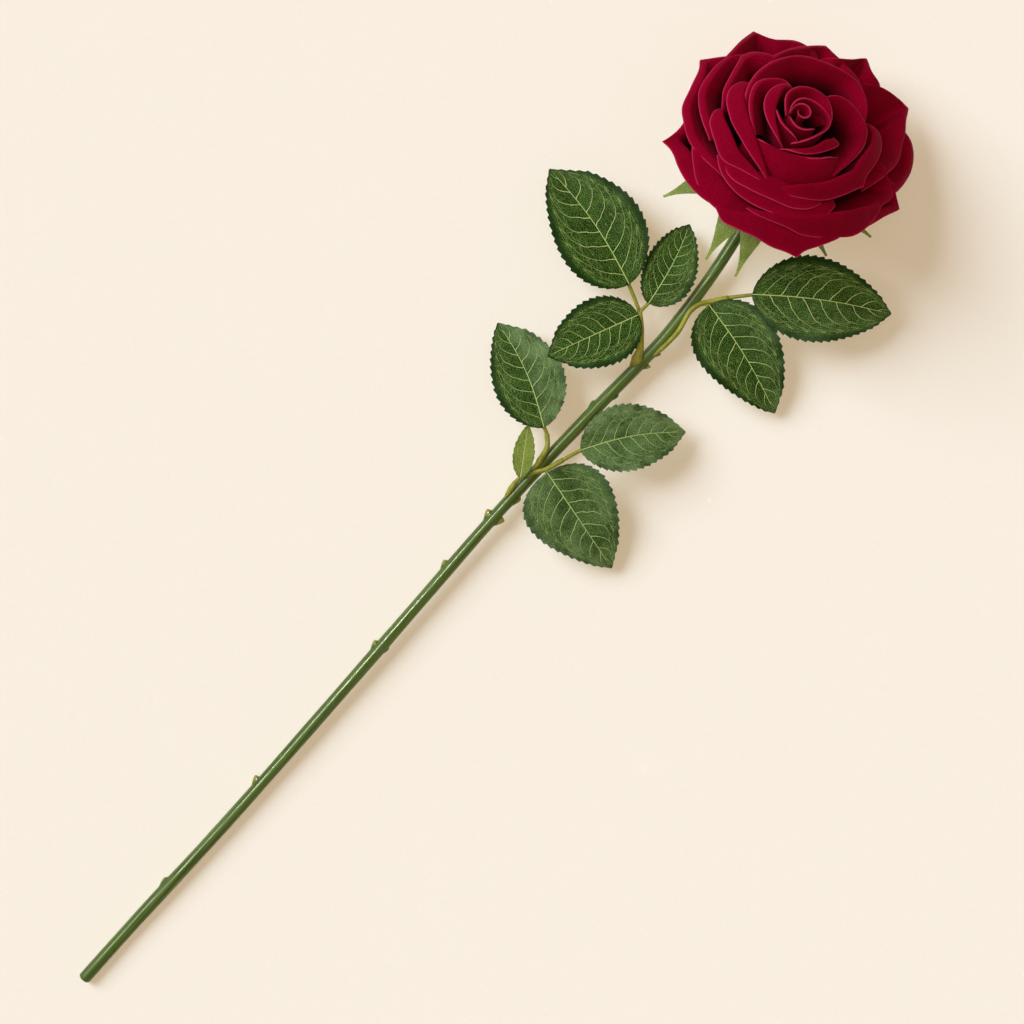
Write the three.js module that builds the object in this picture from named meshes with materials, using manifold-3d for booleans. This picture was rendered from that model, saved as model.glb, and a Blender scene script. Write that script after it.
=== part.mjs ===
// A single long-stemmed artificial rose with a velvet bloom, lying on a table.
// Millimetres, +Z up. The table is z = 0. +X runs along the stem from its cut end to the bloom, +Y to its
// left. The stem is a moulded tube over a steel wire. Die-cut fabric leaves lie on moulded sprays that are
// clipped to it. The wire is bent at the neck, so the bloom faces up. The rose lies on its cut end and on two
// sepal tips.
import * as THREE from "three";
import { mergeVertices } from "three/addons/utils/BufferGeometryUtils.js";
import Module from "manifold-3d";

const wasm = await Module();
wasm.setup();

// ---- Driving dimensions ----

const CENTRE = new THREE.Vector3(-15.4, 7.2, 0); // middle of the part's outline, as the routes are measured

const STEM_RADIUS = 2.7;
const STEM_SIDES = 12;
const STEM_END_TAPER = 0.5;
const NUB_HALF_WIDTH = 1.5;
const NUB_SINK = 0.6; // of a nub's middle below the stem's surface
const BORE_RADIUS = 1.15;
const WIRE_RADIUS = 0.8;
const WIRE_SETBACK = 2; // from the bore's closed end
const SEAT_GAP = 0.3; // between a piece and what it is fitted to

const BLOOM_SEAT = new THREE.Vector3(180.3, 12.7, 26); // where the bloom's axis meets the lower sepal star
const BLOOM_TILT = THREE.MathUtils.degToRad(22.5); // from upright
const BLOOM_LEAN = THREE.MathUtils.degToRad(7.8); // direction of the tilt, from +X towards +Y
const BLOOM_RISE = 48; // height of the dome of petal rims over its seat
const DOME_REACH = 66.3; // distance from the axis at which that dome would come down to the seat
const DOME_POWER = 1.72;

const PETAL_THICKNESS = 0.7;
const PETAL_ROOT = { reach: 4.5, height: 6 };
const PETAL_BASE_SHARE = 0.7; // how much of its rim's spread a petal has at its root
const RIM_DIP = 4; // how far a rim goes down at its two ends

const SEPAL_THICKNESS = 0.6;
const SEPAL_ROOT_REACH = 5;
const SEPAL_HALF_WIDTH = 6.3;
const SEPAL_TIP_HALF_WIDTH = 0.7;
const SEPAL_TIP_STAND = 0.42; // from the table to the middle of a tip that stands on it
const STAR_DISC_RADIUS = 7.5;
const STAR_HOLE_RADIUS = 2.5;
const UPPER_STAR_LEVEL = 1.4;

const LEAF_THICKNESS = 0.7;
const LEAF_TOOTH = 1;
const LEAF_FULLNESS = 0.68; // power that rounds the outline off
const LEAF_ARCH = 2;
const LEAF_FOLD = 0.12; // rise of a blade's side per millimetre from its midrib
const PETIOLE_RADIUS = 1.1;
const RIB_RADIUS = 0.8;
const RIB_SHARE = 0.7; // how far along its blade a rib runs

// Stem axis from the cut end to the end in the calyx cup
const STEM_ROUTE = [
  [-269, 9.5, 2.3],
  [-264, 9.4, 2.4],
  [-235, 8.7, 2.7],
  [-189, 6.9, 3.4],
  [-150, 6, 3.9],
  [-98, 5.3, 4.7],
  [-53.5, 4.9, 5.3],
  [-10, 4.5, 5.9],
  [25, 3.3, 6.4],
  [43.5, 2.2, 6.7],
  [59, 1.3, 6.9],
  [82.5, -0.4, 7.2],
  [96, -1.1, 7.4],
  [109, -0.8, 7.6],
  [123.5, 0.1, 7.8],
  [135, 1.2, 8],
  [149, 3.2, 8.1],
  [160, 5.5, 8.1],
  [166.4, 7.8, 8.1],
  [170.2, 9.5, 8.9],
  [173.4, 11, 11.3],
  [175.8, 12, 14.9],
  [178.1, 12.4, 20.5],
];

// Nubs and thorns on the stem: where along X, to which side of the top in degrees (left is positive), and
// the length and height of the nub
const NUBS = [
  { x: -214.5, side: 90, length: 5, height: 1.6 },
  { x: -156.5, side: 90, length: 4.5, height: 2.4 },
  { x: -80, side: 85, length: 4.5, height: 2 },
  { x: -78.5, side: -95, length: 3.5, height: 1.3 },
  { x: -35, side: 90, length: 4.5, height: 2.1 },
  { x: -7, side: 85, length: 5, height: 2.6 },
  { x: -6, side: -90, length: 5, height: 2.6 },
  { x: 5.5, side: -90, length: 5, height: 1.7 },
  { x: 57, side: 85, length: 4, height: 1.4 },
  { x: 66, side: -85, length: 3.5, height: 1.3 },
  { x: 84, side: -95, length: 3.5, height: 2.4 },
  { x: 91, side: -110, length: 3.5, height: 2 },
];

// Leaves: the middle of the blade at its base and at its tip, the widths to the left and to the right of
// its midrib, where it is widest (below 1 is nearer to the base), and the sideways bow of its midrib, to the
// left if positive
const LEAVES = {
  leaf_a_large: {
    base: [104.9, 24.9, 13.8],
    tip: [120.3, 81.9, 9],
    halves: [19.3, 19.2],
    wide: 0.75,
    bow: -2.3,
    teeth: 16,
  },
  leaf_a_right: {
    base: [104.2, 13.4, 12.7],
    tip: [141.2, 21.8, 6],
    halves: [10.8, 11.9],
    wide: 0.75,
    bow: -1.3,
    teeth: 12,
  },
  leaf_a_left: {
    base: [97.5, 13.5, 13],
    tip: [59.6, 31.3, 12.5],
    halves: [14.8, 14.4],
    wide: 0.74,
    bow: 0,
    teeth: 13,
  },
  leaf_b_large: {
    base: [135.2, -17.5, 15.3],
    tip: [167.3, -67.3, 10],
    halves: [17.8, 18],
    wide: 0.78,
    bow: 1.6,
    teeth: 16,
  },
  leaf_b_low: {
    base: [120, -6.8, 13.3],
    tip: [104.1, -57.3, 5],
    halves: [17, 17.6],
    wide: 0.67,
    bow: 1.5,
    teeth: 15,
  },
  leaf_c_right: {
    base: [38.7, -5.1, 14.3],
    tip: [73.2, -33.7, 9],
    halves: [14, 14.3],
    wide: 0.8,
    bow: 2.1,
    teeth: 14,
  },
  leaf_c_low: {
    base: [22.2, -0.6, 12.3],
    tip: [9.4, -47.4, 5],
    halves: [19, 19.5],
    wide: 0.6,
    bow: 0,
    teeth: 15,
  },
  leaf_d: {
    base: [35.9, 13.1, 11.4],
    tip: [57, 56.5, 5],
    halves: [15.4, 15.1],
    wide: 0.78,
    bow: -2.5,
    teeth: 14,
  },
  leaf_young: {
    base: [13.4, 6.8, 11],
    tip: [32, 18.5, 8.5],
    halves: [4.5, 4.5],
    wide: 0.8,
    bow: 0,
    teeth: 6,
  },
};

// Sprays: the petiole's route from the stem's flank, and the leaves whose ribs start at its end or at the
// listed bends
const SPRAYS = {
  spray_a: {
    petiole: [
      [80.5, 2.2, 10.6],
      [86, 2.9, 10.9],
      [91.1, 5.1, 11],
      [95.6, 9.4, 11.2],
      [99, 13.8, 11.2],
    ],
    ribs: {
      leaf_a_large: [99, 13.8, 11.2],
      leaf_a_right: [99, 13.8, 11.2],
      leaf_a_left: [99, 13.8, 11.2],
    },
  },
  spray_b: {
    petiole: [
      [93, -3.7, 10.6],
      [103, -3.9, 10.8],
      [113, -2.2, 11.7],
      [117.6, -3.2, 11.9],
      [121.5, -5.9, 11.9],
      [127.7, -10.6, 12.1],
    ],
    ribs: {
      leaf_b_large: [127.7, -10.6, 12.1],
      leaf_b_low: [119.6, -4.5, 11.9],
    },
  },
  spray_c: {
    petiole: [
      [17, 3.4, 10.5],
      [22.8, 0.9, 10.7],
      [30.6, -2.1, 10.8],
    ],
    ribs: {
      leaf_c_right: [30.6, -2.1, 10.8],
      leaf_c_low: [22.8, 0.9, 10.7],
    },
  },
  spray_d: {
    petiole: [
      [23.5, 5.2, 10.2],
      [30.5, 6.6, 9.9],
      [34.6, 10.2, 9.9],
    ],
    ribs: {
      leaf_d: [34.6, 10.2, 9.9],
    },
  },
  stalk_young: {
    petiole: [
      [5.5, 6.6, 9],
      [10.4, 7.2, 9.4],
    ],
    ribs: {
      leaf_young: [10.4, 7.2, 9.4],
    },
  },
};

// Sepals of each star: direction in degrees, reach and height of the tip. A tip with no height stands on
// the table
const UPPER_SEPALS = [
  { turn: 140, reach: 40, height: -9 },
  { turn: 207, reach: 46.5, height: -17 },
  { turn: 278, reach: 52.5, height: -10 },
  { turn: 350, reach: 42, height: -8 },
  { turn: 76, reach: 44, height: -11 },
];
const LOWER_SEPALS = [
  { turn: 185, reach: 45.5, height: -16.5 },
  { turn: 255, reach: 43.5, height: -13.5 },
  { turn: 320, reach: 45 },
  { turn: 45, reach: 46 },
  { turn: 108, reach: 44, height: -14 },
];

// Petals from the bud outwards. A rim is a line of points [direction in degrees, reach from the bloom's
// axis] on the dome of rims. A band is the width of the rim that is rolled outwards
const PETALS = [
  { rim: [[60, 2.4], [150, 2.6], [240, 2.8], [330, 3.2], [380, 4]], band: 0 },
  { rim: [[130, 6], [165, 6.5], [200, 7.3], [235, 7.6], [268, 8.4]], band: 0 },
  { rim: [[350, 6], [328, 9], [305, 11], [285, 12], [262, 11.3], [240, 11], [210, 12.2]], band: 0 },
  { rim: [[118, 11], [150, 10.6], [183, 10.4], [210, 11.8]], band: 0 },
  {
    rim: [[132, 6.6], [105, 8], [75, 10.6], [42, 12.6], [15, 14], [350, 14.4], [325, 13.4], [298, 12.6]],
    band: 0,
  },
  { rim: [[46, 13.4], [66, 15.8], [90, 16.6], [115, 15.4], [150, 14], [188, 15.4]], band: 3.4 },
  { rim: [[188, 16.2], [215, 16.4], [245, 17], [268, 18.6], [286, 18]], band: 2.6 },
  { rim: [[147, 22], [165, 19.8], [185, 18.4], [210, 17.8], [235, 18.8], [258, 20.6]], band: 1.8 },
  { rim: [[50, 14.2], [62, 18], [74, 21.6], [92, 24]], band: 0 },
  {
    rim: [[356, 16.5], [343, 22.4], [330, 28.6], [315, 30], [298, 29], [278, 26.8], [258, 26], [237, 27]],
    band: 0,
  },
  {
    rim: [[114, 23], [92, 25], [70, 27.4], [48, 30], [28, 32], [10, 33], [355, 37], [343, 37.6], [324, 32]],
    band: 0,
  },
  {
    rim: [[86, 25.4], [97, 29.4], [115, 29.4], [138, 27.2], [163, 25.8], [182, 27], [199, 29.4]],
    band: 4.6,
  },
  { rim: [[116, 30], [126, 34.4], [142, 34.8], [158, 33.8], [175, 30.6], [199, 29.6]], band: 5.6 },
  { rim: [[158, 34.7], [170, 36.2], [190, 35.4], [210, 35.2], [228, 34]], band: 4.2 },
  { rim: [[201, 30.2], [222, 31.8], [245, 33.6], [268, 36.4], [288, 36.8], [308, 39], [321, 33]], band: 8 },
  { rim: [[113, 31], [98, 32.6], [80, 35.4], [66, 38.2], [52, 32.8]], band: 0 },
  { rim: [[172, 36.6], [192, 37.2], [214, 37.6], [232, 38], [244, 36.4]], band: 4 },
  { rim: [[67, 39.2], [80, 41.8], [94, 41], [106, 41], [122, 38.2], [138, 35.2]], band: 0 },
  { rim: [[52, 32.8], [36, 38], [25, 43], [15, 49.6], [6, 45.6], [351, 42.6]], band: 0 },
  { rim: [[351, 43], [344, 53.6], [333, 60.4], [322, 56], [308, 50], [292, 43.6], [277, 38.2]], band: 0 },
  { rim: [[142, 41.6], [154, 43.8], [166, 45.8], [179, 45.4]], band: 3 },
  { rim: [[297, 42.6], [291, 45.4], [287, 49.6], [278, 47.8], [266, 44]], band: 0 },
  { rim: [[194, 39.4], [210, 40.8], [228, 44], [246, 47.2], [262, 49], [279, 47.8]], band: 7 },
  { rim: [[77, 43], [88, 46.2], [100, 44.2], [115, 45.2], [132, 43], [150, 39.2], [165, 37]], band: 0 },
  { rim: [[176, 44.6], [190, 47.2], [208, 48], [224, 49.6], [240, 46.4]], band: 5 },
  { rim: [[125, 43.6], [133, 50], [147, 47.6], [167, 46]], band: 0 },
  { rim: [[77, 42], [62, 46], [50, 51.8], [38, 47], [22, 41.4]], band: 0 },
  { rim: [[13, 44], [4, 50], [358, 58.6], [351, 57.8], [341, 53.4]], band: 0 },
  { rim: [[325, 54.6], [318, 58], [306, 56], [288, 49.6]], band: 0 },
  { rim: [[293, 49], [285, 54.4], [274, 50.6], [262, 48.8]], band: 0 },
];

// ---- Shared geometry ----

// A route whose steps fall evenly between its points, so that a bend with close points gets short steps
class Route extends THREE.CatmullRomCurve3 {
  getPointAt(u) {
    return this.getPoint(u);
  }
  getTangentAt(u) {
    return this.getTangent(u);
  }
}

function routeOf(points) {
  return new Route(points.map((p) => new THREE.Vector3(...p)));
}

function solidOf(geometry) {
  const bare = geometry.clone();
  bare.deleteAttribute("normal");
  bare.deleteAttribute("uv");
  const merged = mergeVertices(bare, 1e-4);
  const mesh = new wasm.Mesh({
    numProp: 3,
    vertProperties: merged.attributes.position.array,
    triVerts: new Uint32Array(merged.index.array),
  });
  return new wasm.Manifold(mesh);
}

// Joins solids, drops loose scraps and fills any hollow that the joining sealed
function fuse(solids) {
  const joined = solids.reduce((all, next) => all.add(next));
  const bodies = joined.decompose();
  return bodies.reduce((most, body) => (body.volume() > most.volume() ? body : most));
}

function geometryOf(solid) {
  const mesh = solid.getMesh();
  const geometry = new THREE.BufferGeometry();
  geometry.setAttribute("position", new THREE.BufferAttribute(mesh.vertProperties, mesh.numProp));
  geometry.setIndex(new THREE.BufferAttribute(mesh.triVerts, 1));
  geometry.computeVertexNormals();
  return geometry;
}

// A tube along a route. Its section is drawn small, and each ring is then grown to radiusAt(share of the
// route)
function tube(points, radiusAt, sides, stepsPerStretch) {
  const drawn = 0.1;
  const route = routeOf(points);
  const steps = (points.length - 1) * stepsPerStretch;
  const section = new THREE.Shape();
  for (let i = 0; i < sides; i++) {
    const angle = (2 * Math.PI * (i + 0.5)) / sides;
    section[i ? "lineTo" : "moveTo"](drawn * Math.cos(angle), drawn * Math.sin(angle));
  }
  section.closePath();
  const geometry = new THREE.ExtrudeGeometry(section, { steps, extrudePath: route });
  const centres = route.getSpacedPoints(steps);
  const place = geometry.attributes.position;
  const point = new THREE.Vector3();
  for (let i = 0; i < place.count; i++) {
    point.fromBufferAttribute(place, i);
    const gaps = centres.map((centre) => centre.distanceTo(point));
    const ring = gaps.indexOf(Math.min(...gaps));
    point.sub(centres[ring]).multiplyScalar(radiusAt(ring / steps) / drawn).add(centres[ring]);
    place.setXYZ(i, point.x, point.y, point.z);
  }
  return geometry;
}

// A thin blade on a grid. place(u, v) is its middle surface, and each grid point is pushed half the
// thickness to either side of it, so that both faces are split into triangles alike
function blade(us, vs, thickness, place) {
  const positions = [];
  const index = [];
  const nudge = 1e-3;
  const stepU = nudge * (us.at(-1) - us[0]);
  const insideU = (u) => THREE.MathUtils.clamp(u, Math.min(us[0], us.at(-1)), Math.max(us[0], us.at(-1)));
  for (const side of [0.5, -0.5]) {
    for (const v of vs) {
      for (const u of us) {
        const alongU = place(insideU(u + stepU), v).sub(place(insideU(u - stepU), v));
        const alongV = place(u, Math.min(v + nudge, 1)).sub(place(u, Math.max(v - nudge, 0)));
        const normal = alongU.cross(alongV).normalize();
        positions.push(...place(u, v).addScaledVector(normal, side * thickness));
      }
    }
  }
  const at = (i, j, face) => face * us.length * vs.length + j * us.length + i;
  const quad = (a, b, c, d) => index.push(a, b, c, a, c, d);
  const lastU = us.length - 1;
  const lastV = vs.length - 1;
  for (let j = 0; j < lastV; j++) {
    for (let i = 0; i < lastU; i++) {
      quad(at(i, j, 0), at(i + 1, j, 0), at(i + 1, j + 1, 0), at(i, j + 1, 0));
      index.push(at(i, j, 1), at(i + 1, j + 1, 1), at(i + 1, j, 1));
      index.push(at(i, j, 1), at(i, j + 1, 1), at(i + 1, j + 1, 1));
    }
    quad(at(0, j + 1, 0), at(0, j + 1, 1), at(0, j, 1), at(0, j, 0));
    quad(at(lastU, j, 0), at(lastU, j, 1), at(lastU, j + 1, 1), at(lastU, j + 1, 0));
  }
  for (let i = 0; i < lastU; i++) {
    quad(at(i, 0, 0), at(i, 0, 1), at(i + 1, 0, 1), at(i + 1, 0, 0));
    quad(at(i + 1, lastV, 0), at(i + 1, lastV, 1), at(i, lastV, 1), at(i, lastV, 0));
  }
  const geometry = new THREE.BufferGeometry();
  geometry.setAttribute("position", new THREE.Float32BufferAttribute(positions, 3));
  geometry.setIndex(index);
  return geometry;
}

const evenly = (cells) => Array.from({ length: cells + 1 }, (_, i) => i / cells);

function part(name, geometry, material) {
  const mesh = new THREE.Mesh(geometry, material);
  mesh.name = name;
  return mesh;
}

// ---- Stem, its wire and its nubs ----

const stemPlastic = new THREE.MeshStandardMaterial({ color: 0x567a2e, roughness: 0.38, metalness: 0 });
const steel = new THREE.MeshStandardMaterial({ color: 0x8d8f90, roughness: 0.4, metalness: 1 });

// A nub is a blunt bump on the stem's flank that leans towards the bloom
function nub({ x, side, length, height }) {
  const route = routeOf(STEM_ROUTE);
  let u = 0;
  while (route.getPoint(u).x < x) u += 1e-4;
  const angle = THREE.MathUtils.degToRad(side);
  const outward = new THREE.Vector3(0, Math.sin(angle), Math.cos(angle));
  const bump = new THREE.SphereGeometry(1, 8, 5);
  bump.scale(length / 2, NUB_HALF_WIDTH, height);
  bump.translate(0, 0, STEM_RADIUS - NUB_SINK);
  bump.applyQuaternion(new THREE.Quaternion().setFromUnitVectors(new THREE.Vector3(0, 0, 1), outward));
  bump.translate(...route.getPoint(u));
  return solidOf(bump);
}

function stem() {
  const stepsPerStretch = 2;
  const round = (u) => (u === 0 ? STEM_RADIUS - STEM_END_TAPER : STEM_RADIUS);
  const body = solidOf(tube(STEM_ROUTE, round, STEM_SIDES, stepsPerStretch));
  const [before, last] = STEM_ROUTE.slice(-2);
  const mouth = last.map((value, axis) => 2 * value - before[axis]);
  const bore = solidOf(tube([...STEM_ROUTE.slice(2), mouth], () => BORE_RADIUS, 6, stepsPerStretch));
  const depth = 20;
  const table = new THREE.BoxGeometry(3 * depth, 3 * depth, depth);
  table.translate(STEM_ROUTE[0][0], STEM_ROUTE[0][1], -depth / 2);
  const whole = fuse([body, ...NUBS.map(nub)]).subtract(bore).subtract(solidOf(table));
  return part("stem", geometryOf(whole), stemPlastic);
}

function stemWire() {
  const [[x, y, z], ...rest] = STEM_ROUTE.slice(2);
  const start = [x + WIRE_SETBACK, y, z];
  return part("stem_wire", tube([start, ...rest], () => WIRE_RADIUS, 6, 2), steel);
}

// ---- Leaves and the sprays that carry them ----

const leafFabric = new THREE.MeshStandardMaterial({ color: 0x2f5526, roughness: 0.6, metalness: 0 });
const youngFabric = new THREE.MeshStandardMaterial({ color: 0x6f9440, roughness: 0.6, metalness: 0 });
const petiolePlastic = new THREE.MeshStandardMaterial({ color: 0x8a9440, roughness: 0.5, metalness: 0 });

// A leaf's own frame: its base at the origin and its tip on +X
function leafFrame({ base, tip }) {
  const from = new THREE.Vector3(...base);
  const run = new THREE.Vector3(...tip).sub(from);
  const yaw = Math.atan2(run.y, run.x);
  const pitch = -Math.asin(run.z / run.length());
  return { from, length: run.length(), turn: new THREE.Euler(0, pitch, yaw, "ZYX") };
}

function midrib({ bow }, length, v) {
  return new THREE.Vector3(length * v, bow * Math.sin(Math.PI * v), LEAF_ARCH * Math.sin(Math.PI * v));
}

// Toothed outline with teeth that point to the tip
function halfWidth({ halves, wide, teeth }, v, side) {
  const outline = halves[side] * Math.sin(Math.PI * v ** wide) ** LEAF_FULLNESS;
  const tooth = LEAF_TOOTH * (((v * teeth) % 1) - 0.5);
  const ends = Math.min(1, 6 * v, 6 * (1 - v));
  return Math.max(0.5, outline + tooth * ends);
}

function leaf(name, shape, material) {
  const { from, length, turn } = leafFrame(shape);
  const place = (u, v) => {
    const reach = u * halfWidth(shape, v, u > 0 ? 0 : 1);
    return midrib(shape, length, v).add(new THREE.Vector3(0, reach, LEAF_FOLD * Math.abs(reach)));
  };
  const vs = [0];
  for (let tooth = 0; tooth < shape.teeth; tooth++) {
    vs.push((tooth + 0.15) / shape.teeth, (tooth + 0.9) / shape.teeth);
  }
  vs.push(1);
  const blank = blade([1, 0, -1], vs, LEAF_THICKNESS, place);
  const mesh = part(name, blank, material);
  mesh.position.copy(from);
  mesh.rotation.copy(turn);
  return mesh;
}

// A rib lies under its blade's midrib
function rib(shape, start) {
  const { from, length, turn } = leafFrame(shape);
  const below = LEAF_THICKNESS / 2 + SEAT_GAP + RIB_RADIUS;
  const points = [start];
  for (const v of [0.03, 0.18, 0.35, 0.52, RIB_SHARE]) {
    const point = midrib(shape, length, v);
    point.z -= below;
    points.push(point.applyEuler(turn).add(from).toArray());
  }
  return tube(points, (u) => RIB_RADIUS * (1 - 0.4 * u), 6, 1);
}

function spray(name, { petiole, ribs }) {
  const thin = petiole.length < 3 ? RIB_RADIUS : PETIOLE_RADIUS;
  const pieces = [tube(petiole, () => thin, 8, 2)];
  for (const [leafName, start] of Object.entries(ribs)) {
    pieces.push(rib(LEAVES[leafName], start));
  }
  return part(name, geometryOf(fuse(pieces.map(solidOf))), petiolePlastic);
}

// ---- The head: calyx cup, sepal stars and bloom, on one tilted axis ----

const cupPlastic = new THREE.MeshStandardMaterial({ color: 0x5f7d36, roughness: 0.5, metalness: 0 });
const sepalFabric = new THREE.MeshStandardMaterial({ color: 0x8fa24c, roughness: 0.8, metalness: 0 });
const velvet = new THREE.MeshStandardMaterial({ color: 0x830423, roughness: 0.95, metalness: 0 });

function lathe(profile, sides) {
  const points = profile.map(([radius, height]) => new THREE.Vector2(radius, height));
  return new THREE.LatheGeometry(points, sides).rotateX(Math.PI / 2);
}

// A receptacle with a socket for the stem below and a recess for the bloom's peg above
function calyxCup() {
  const socket = STEM_RADIUS + 0.45;
  const top = -SEPAL_THICKNESS / 2 - SEAT_GAP;
  const profile = [
    [0, -5.5],
    [socket, -5.5],
    [socket, -12],
    [3.9, -12],
    [4.9, -10],
    [5.8, -6],
    [6.4, top - 1.5],
    [6.6, top],
    [STAR_HOLE_RADIUS, top],
    [STAR_HOLE_RADIUS, -4.2],
    [0, -4.2],
  ];
  return part("calyx_cup", lathe(profile, 16), cupPlastic);
}

const inHead = (turn, reach, height) =>
  new THREE.Vector3(reach * Math.cos(turn), reach * Math.sin(turn), height);

// Height at which a point of the head at this direction and reach stands on the table
function tableHeight(turn, reach) {
  const downhill = reach * Math.cos(turn - BLOOM_LEAN) * Math.sin(BLOOM_TILT);
  return (downhill - BLOOM_SEAT.z) / Math.cos(BLOOM_TILT) + SEPAL_TIP_STAND;
}

// A pointed sepal that leaves the disc level and then hangs
function sepal({ turn, reach, height }, level) {
  const mid = THREE.MathUtils.degToRad(turn);
  const tipHeight = height ?? tableHeight(mid, reach);
  const place = (u, v) => {
    const across = SEPAL_TIP_HALF_WIDTH + SEPAL_HALF_WIDTH * Math.cos((Math.PI / 2) * v);
    const out = SEPAL_ROOT_REACH + (reach - SEPAL_ROOT_REACH) * v;
    const side = inHead(mid + Math.PI / 2, u * across, 0);
    return inHead(mid, out, level + (tipHeight - level) * v ** 1.8).add(side);
  };
  return blade([-1, 0, 1], evenly(7), SEPAL_THICKNESS, (u, v) => place(-u, v));
}

function sepalStar(name, sepals, level) {
  const disc = new THREE.Shape().absarc(0, 0, STAR_DISC_RADIUS, 0, 2 * Math.PI);
  disc.holes.push(new THREE.Path().absarc(0, 0, STAR_HOLE_RADIUS, 0, 2 * Math.PI));
  const plate = new THREE.ExtrudeGeometry(disc, {
    depth: SEPAL_THICKNESS,
    bevelEnabled: false,
    curveSegments: 10,
  });
  plate.translate(0, 0, level - SEPAL_THICKNESS / 2);
  const lobes = sepals.map((shape) => solidOf(sepal(shape, level)));
  return part(name, geometryOf(fuse([solidOf(plate), ...lobes])), sepalFabric);
}

const domeRise = (reach) => BLOOM_RISE * (1 - (reach / DOME_REACH) ** DOME_POWER);

function bezier(v, a, b, c, d) {
  const w = 1 - v;
  return w * w * w * a + 3 * w * w * v * b + 3 * w * v * v * c + v * v * v * d;
}

// A petal rises from its root in the core to the crest, and from there its band rolls over to the rim
function petal({ rim, band }) {
  const turns = rim.map(([turn]) => turn);
  for (let i = 1; i < turns.length; i++) {
    while (turns[i] - turns[i - 1] > 180) turns[i] -= 360;
    while (turns[i] - turns[i - 1] < -180) turns[i] += 360;
  }
  const line = new THREE.CatmullRomCurve3(rim.map(([, reach], i) => new THREE.Vector3(turns[i], reach, 0)));
  const forward = turns.at(-1) > turns[0] ? 1 : -1;
  const middle = line.getPoint(0.5).x;
  const crestAt = 0.8;
  const place = (u, v) => {
    const point = line.getPoint(u);
    const roll = band * Math.sin(Math.PI * u) ** 0.7;
    const crest = point.y - roll;
    const top = domeRise(crest) - RIM_DIP * Math.abs(2 * u - 1) ** 6;
    const root = Math.min(PETAL_ROOT.reach, 0.6 * crest);
    const spread = PETAL_BASE_SHARE + (1 - PETAL_BASE_SHARE) * v;
    const turn = THREE.MathUtils.degToRad(middle + (point.x - middle) * spread);
    if (band === 0 || v <= crestAt) {
      const t = band === 0 ? v : v / crestAt;
      const reach = bezier(t, root, 0.7 * crest, crest, crest);
      return inHead(turn, reach, bezier(t, PETAL_ROOT.height, 0.15 * top, 0.62 * top, top));
    }
    const t = (v - crestAt) / (1 - crestAt);
    const drop = top - domeRise(crest) + domeRise(point.y);
    const reach = bezier(t, crest, crest + 0.05 * roll, crest + 0.7 * roll, crest + roll);
    return inHead(turn, reach, bezier(t, top, top + 0.25 * roll, top + 0.25 * roll, drop));
  };
  const rows = band === 0 ? [0, 0.35, 0.7, 1] : [0, 0.3, 0.56, crestAt, 0.9, 1];
  const us = evenly(rim.length - 1);
  return blade(us, rows, PETAL_THICKNESS, forward > 0 ? place : (u, v) => place(1 - u, v));
}

// The core that the petals are rooted in, with the peg that fits the calyx cup
function bloomCore() {
  const foot = UPPER_STAR_LEVEL + SEPAL_THICKNESS / 2 + SEAT_GAP;
  const profile = [
    [0, -3.6],
    [2, -3.6],
    [2, foot],
    [6.5, foot],
    [10, 8],
    [11.5, 16],
    [10, 24],
    [7, 31],
    [4, 38],
    [0, 40],
  ];
  return lathe(profile, 12);
}

function bloom() {
  const solids = [bloomCore(), ...PETALS.map(petal)].map(solidOf);
  return part("bloom", geometryOf(fuse(solids)), velvet);
}

// ---- Assembly ----

const rose = new THREE.Group();

const lying = new THREE.Group();
lying.position.copy(CENTRE).negate();
rose.add(lying);

lying.add(stem(), stemWire());
for (const [name, shape] of Object.entries(LEAVES)) {
  lying.add(leaf(name, shape, name === "leaf_young" ? youngFabric : leafFabric));
}
for (const [name, shape] of Object.entries(SPRAYS)) {
  lying.add(spray(name, shape));
}

const head = new THREE.Group();
head.position.copy(BLOOM_SEAT);
const tiltAxis = new THREE.Vector3(-Math.sin(BLOOM_LEAN), Math.cos(BLOOM_LEAN), 0);
head.setRotationFromAxisAngle(tiltAxis, BLOOM_TILT);
head.add(calyxCup());
head.add(sepalStar("sepal_star_lower", LOWER_SEPALS, 0));
head.add(sepalStar("sepal_star_upper", UPPER_SEPALS, UPPER_STAR_LEVEL));
head.add(bloom());
lying.add(head);

export default rose;
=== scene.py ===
import math

import bpy
import numpy as np
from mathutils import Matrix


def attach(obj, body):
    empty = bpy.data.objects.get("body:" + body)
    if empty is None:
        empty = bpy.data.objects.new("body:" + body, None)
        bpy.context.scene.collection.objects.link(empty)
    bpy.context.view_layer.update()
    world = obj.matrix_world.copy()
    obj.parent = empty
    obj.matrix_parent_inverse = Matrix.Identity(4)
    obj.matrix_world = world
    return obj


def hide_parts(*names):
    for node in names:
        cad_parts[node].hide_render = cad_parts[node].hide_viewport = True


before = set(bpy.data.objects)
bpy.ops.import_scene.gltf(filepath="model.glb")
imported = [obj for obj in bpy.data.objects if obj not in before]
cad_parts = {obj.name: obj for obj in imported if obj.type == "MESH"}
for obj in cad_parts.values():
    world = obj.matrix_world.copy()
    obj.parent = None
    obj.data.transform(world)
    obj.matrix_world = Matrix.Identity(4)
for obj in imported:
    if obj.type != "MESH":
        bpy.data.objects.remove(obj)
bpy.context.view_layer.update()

# ---- View ----
# The camera looks straight down from 1.3 m over the table, turned so that the stem runs from the picture's
# lower left to its upper right. The shapes below are measured in millimetres from the point under the camera,
# and CENTRE is the middle of the part's outline there.
CENTRE = np.array([-15.4, 7.2, 0.0])
CAMERA_HEIGHT = 1.3
CAMERA_TURN = math.radians(-49.5)

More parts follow.
